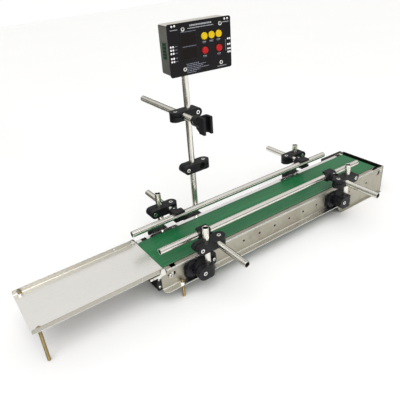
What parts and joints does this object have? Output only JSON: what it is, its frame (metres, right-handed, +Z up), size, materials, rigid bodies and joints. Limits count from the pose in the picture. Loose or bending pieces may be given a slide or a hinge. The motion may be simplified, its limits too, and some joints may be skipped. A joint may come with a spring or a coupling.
{
  "type": "belt conveyor section",
  "caption": "Benchtop belt conveyor section with adjustable tube guide rails on cross clamps, a hinged infeed tray on threaded legs, and a mast carrying a push-button control box.",
  "frame": {"origin": "centre of the overall footprint, on the surface the conveyor stands on", "axes": "+X along the belt from the tray end to the drive end, +Y across the belt to the mast side, +Z up"},
  "size_m": [0.8942, 0.415, 0.4747],
  "materials": {
    "stainless": "brushed stainless sheet with bright bend lines",
    "polished": "polished stainless tube",
    "belt": "smooth green PVC belt, semi-gloss",
    "nylon": "moulded black nylon, fine texture",
    "black_steel": "black powder coat",
    "zinc": "yellow zinc plated threaded rod",
    "motor": "satin metal can",
    "rubber": "black timing belt",
    "enclosure": "grey textured metal case",
    "panel": "black membrane panel, satin",
    "yellow": "glossy moulded button",
    "red": "glossy moulded button",
    "terminal": "green terminal housing"
  },
  "bodies": {
    "root": {"side_plate_front": "stainless", "side_plate_back": "stainless", "slider_bed": "stainless", "cross_tie": "stainless", "tail_bracket": "black_steel", "drive_end_plate": "black_steel", "drive_guard": "black_steel", "conveyor_belt": "belt", "drive_bearing_front": "polished", "drive_bearing_back": "polished", "gearmotor": "motor", "timing_belt": "rubber", "bracket_fl": "nylon", "bracket_fr": "nylon", "bracket_bl": "nylon", "bracket_br": "nylon", "bracket_mast": "nylon"},
    "drive": {"drive_roller": "polished", "drive_pulley": "polished"},
    "motor_rotor": {"motor_pulley": "polished"},
    "take_up": {"tail_block_front": "polished", "tail_block_back": "polished"},
    "tail_roll": {"tail_roller": "polished"},
    "front_posts": {"post_fl": "polished", "post_fr": "polished"},
    "front_clamps": {"clamp_fl": "nylon", "clamp_fr": "nylon"},
    "front_guide": {"rail_front": "polished", "rod_fl": "polished", "rod_fr": "polished", "jaw_fl": "nylon", "jaw_fr": "nylon"},
    "back_posts": {"post_bl": "polished", "post_br": "polished"},
    "back_clamps": {"clamp_bl": "nylon", "clamp_br": "nylon"},
    "back_guide": {"rail_back": "polished", "rod_bl": "polished", "rod_br": "polished", "jaw_bl": "nylon", "jaw_br": "nylon"},
    "mast": {"mast": "polished"},
    "sensor_clamp": {"mast_clamp_upper": "nylon"},
    "sensor_rod": {"mast_rod": "polished"},
    "sensor_jaw": {"mast_jaw": "nylon"},
    "spare_clamp": {"mast_clamp_lower": "nylon"},
    "control_box": {"box_body": "enclosure", "box_panel": "panel", "box_mount": "nylon", "terminal_block": "terminal"},
    "yellow_1": {"button_yellow_1": "yellow"},
    "yellow_2": {"button_yellow_2": "yellow"},
    "yellow_3": {"button_yellow_3": "yellow"},
    "red_1": {"button_red_1": "red"},
    "red_2": {"button_red_2": "red"},
    "infeed_tray": {"tray": "stainless"},
    "tray_foot_front": {"tray_leg_front": "zinc"},
    "tray_foot_back": {"tray_leg_back": "zinc"},
    "stud_front": {"levelling_stud_front": "zinc"},
    "stud_back": {"levelling_stud_back": "zinc"}
  },
  "joints": [
    {"name": "drive_spin", "type": "hinge", "parent": "root", "child": "drive", "pos_m": [0.42385, -0.0295, 0.0585], "axis": [0, 1, 0], "continuous": true},
    {"name": "motor_spin", "type": "hinge", "parent": "root", "child": "motor_rotor", "pos_m": [0.39385, 0.0355, 0.023], "axis": [0, 1, 0], "continuous": true},
    {"name": "belt_take_up", "type": "slide", "parent": "root", "child": "take_up", "axis": [1, 0, 0], "range_m": [0, 0.005]},
    {"name": "tail_spin", "type": "hinge", "parent": "take_up", "child": "tail_roll", "pos_m": [-0.19115, -0.0295, 0.0585], "axis": [0, 1, 0], "continuous": true},
    {"name": "front_post_height", "type": "slide", "parent": "root", "child": "front_posts", "axis": [0, 0, 1], "range_m": [-0.008, 0.015]},
    {"name": "front_clamp_height", "type": "slide", "parent": "front_posts", "child": "front_clamps", "axis": [0, 0, 1], "range_m": [-0.012, 0.02]},
    {"name": "front_rail_width", "type": "slide", "parent": "front_clamps", "child": "front_guide", "axis": [0, 1, 0], "range_m": [-0.002, 0.03]},
    {"name": "back_post_height", "type": "slide", "parent": "root", "child": "back_posts", "axis": [0, 0, 1], "range_m": [-0.008, 0.015]},
    {"name": "back_clamp_height", "type": "slide", "parent": "back_posts", "child": "back_clamps", "axis": [0, 0, 1], "range_m": [-0.012, 0.015]},
    {"name": "back_rail_width", "type": "slide", "parent": "back_clamps", "child": "back_guide", "axis": [0, -1, 0], "range_m": [-0.01, 0.03]},
    {"name": "mast_swivel", "type": "hinge", "parent": "root", "child": "mast", "pos_m": [-0.03015, 0.0541, 0.073], "axis": [0, 0, 1], "range_deg": [-60, 60]},
    {"name": "sensor_height", "type": "slide", "parent": "mast", "child": "sensor_clamp", "axis": [0, 0, 1], "range_m": [-0.04, 0.04]},
    {"name": "sensor_reach", "type": "slide", "parent": "sensor_clamp", "child": "sensor_rod", "axis": [0, 1, 0], "range_m": [-0.05, 0.035]},
    {"name": "sensor_tilt", "type": "hinge", "parent": "sensor_rod", "child": "sensor_jaw", "pos_m": [-0.04815, -0.0195, 0.299], "axis": [0, 1, 0], "range_deg": [-90, 90]},
    {"name": "spare_clamp_height", "type": "slide", "parent": "mast", "child": "spare_clamp", "axis": [0, 0, 1], "range_m": [-0.03, 0.04]},
    {"name": "box_turn", "type": "hinge", "parent": "mast", "child": "control_box", "pos_m": [-0.03015, 0.0541, 0.423], "axis": [0, 0, 1], "range_deg": [-60, 60]},
    {"name": "press_yellow_1", "type": "slide", "parent": "control_box", "child": "yellow_1", "axis": [0.0993, 0.9951, 0], "range_m": [0, 0.0015], "stiffness_N_per_m": 500},
    {"name": "press_yellow_2", "type": "slide", "parent": "control_box", "child": "yellow_2", "axis": [0.0993, 0.9951, 0], "range_m": [0, 0.0015], "stiffness_N_per_m": 500},
    {"name": "press_yellow_3", "type": "slide", "parent": "control_box", "child": "yellow_3", "axis": [0.0993, 0.9951, 0], "range_m": [0, 0.0015], "stiffness_N_per_m": 500},
    {"name": "press_red_1", "type": "slide", "parent": "control_box", "child": "red_1", "axis": [0.0993, 0.9951, 0], "range_m": [0, 0.0015], "stiffness_N_per_m": 500},
    {"name": "press_red_2", "type": "slide", "parent": "control_box", "child": "red_2", "axis": [0.0993, 0.9951, 0], "range_m": [0, 0.0015], "stiffness_N_per_m": 500},
    {"name": "tray_pivot", "type": "hinge", "parent": "root", "child": "infeed_tray", "pos_m": [-0.20615, -0.0325, 0.076], "axis": [0, 1, 0], "range_deg": [-3, 30]},
    {"name": "tray_leg_front_height", "type": "slide", "parent": "infeed_tray", "child": "tray_foot_front", "axis": [0, 0, 1], "range_m": [-0.005, 0.01]},
    {"name": "tray_leg_back_height", "type": "slide", "parent": "infeed_tray", "child": "tray_foot_back", "axis": [0, 0, 1], "range_m": [-0.005, 0.01]},
    {"name": "stud_front_height", "type": "slide", "parent": "root", "child": "stud_front", "axis": [0, 0, 1], "range_m": [-0.003, 0.012]},
    {"name": "stud_back_height", "type": "slide", "parent": "root", "child": "stud_back", "axis": [0, 0, 1], "range_m": [-0.003, 0.012]}
  ],
  "couplings": [
    {"joint": "motor_spin", "follows": "drive_spin", "ratio": 1},
    {"joint": "tail_spin", "follows": "drive_spin", "ratio": 1}
  ]
}
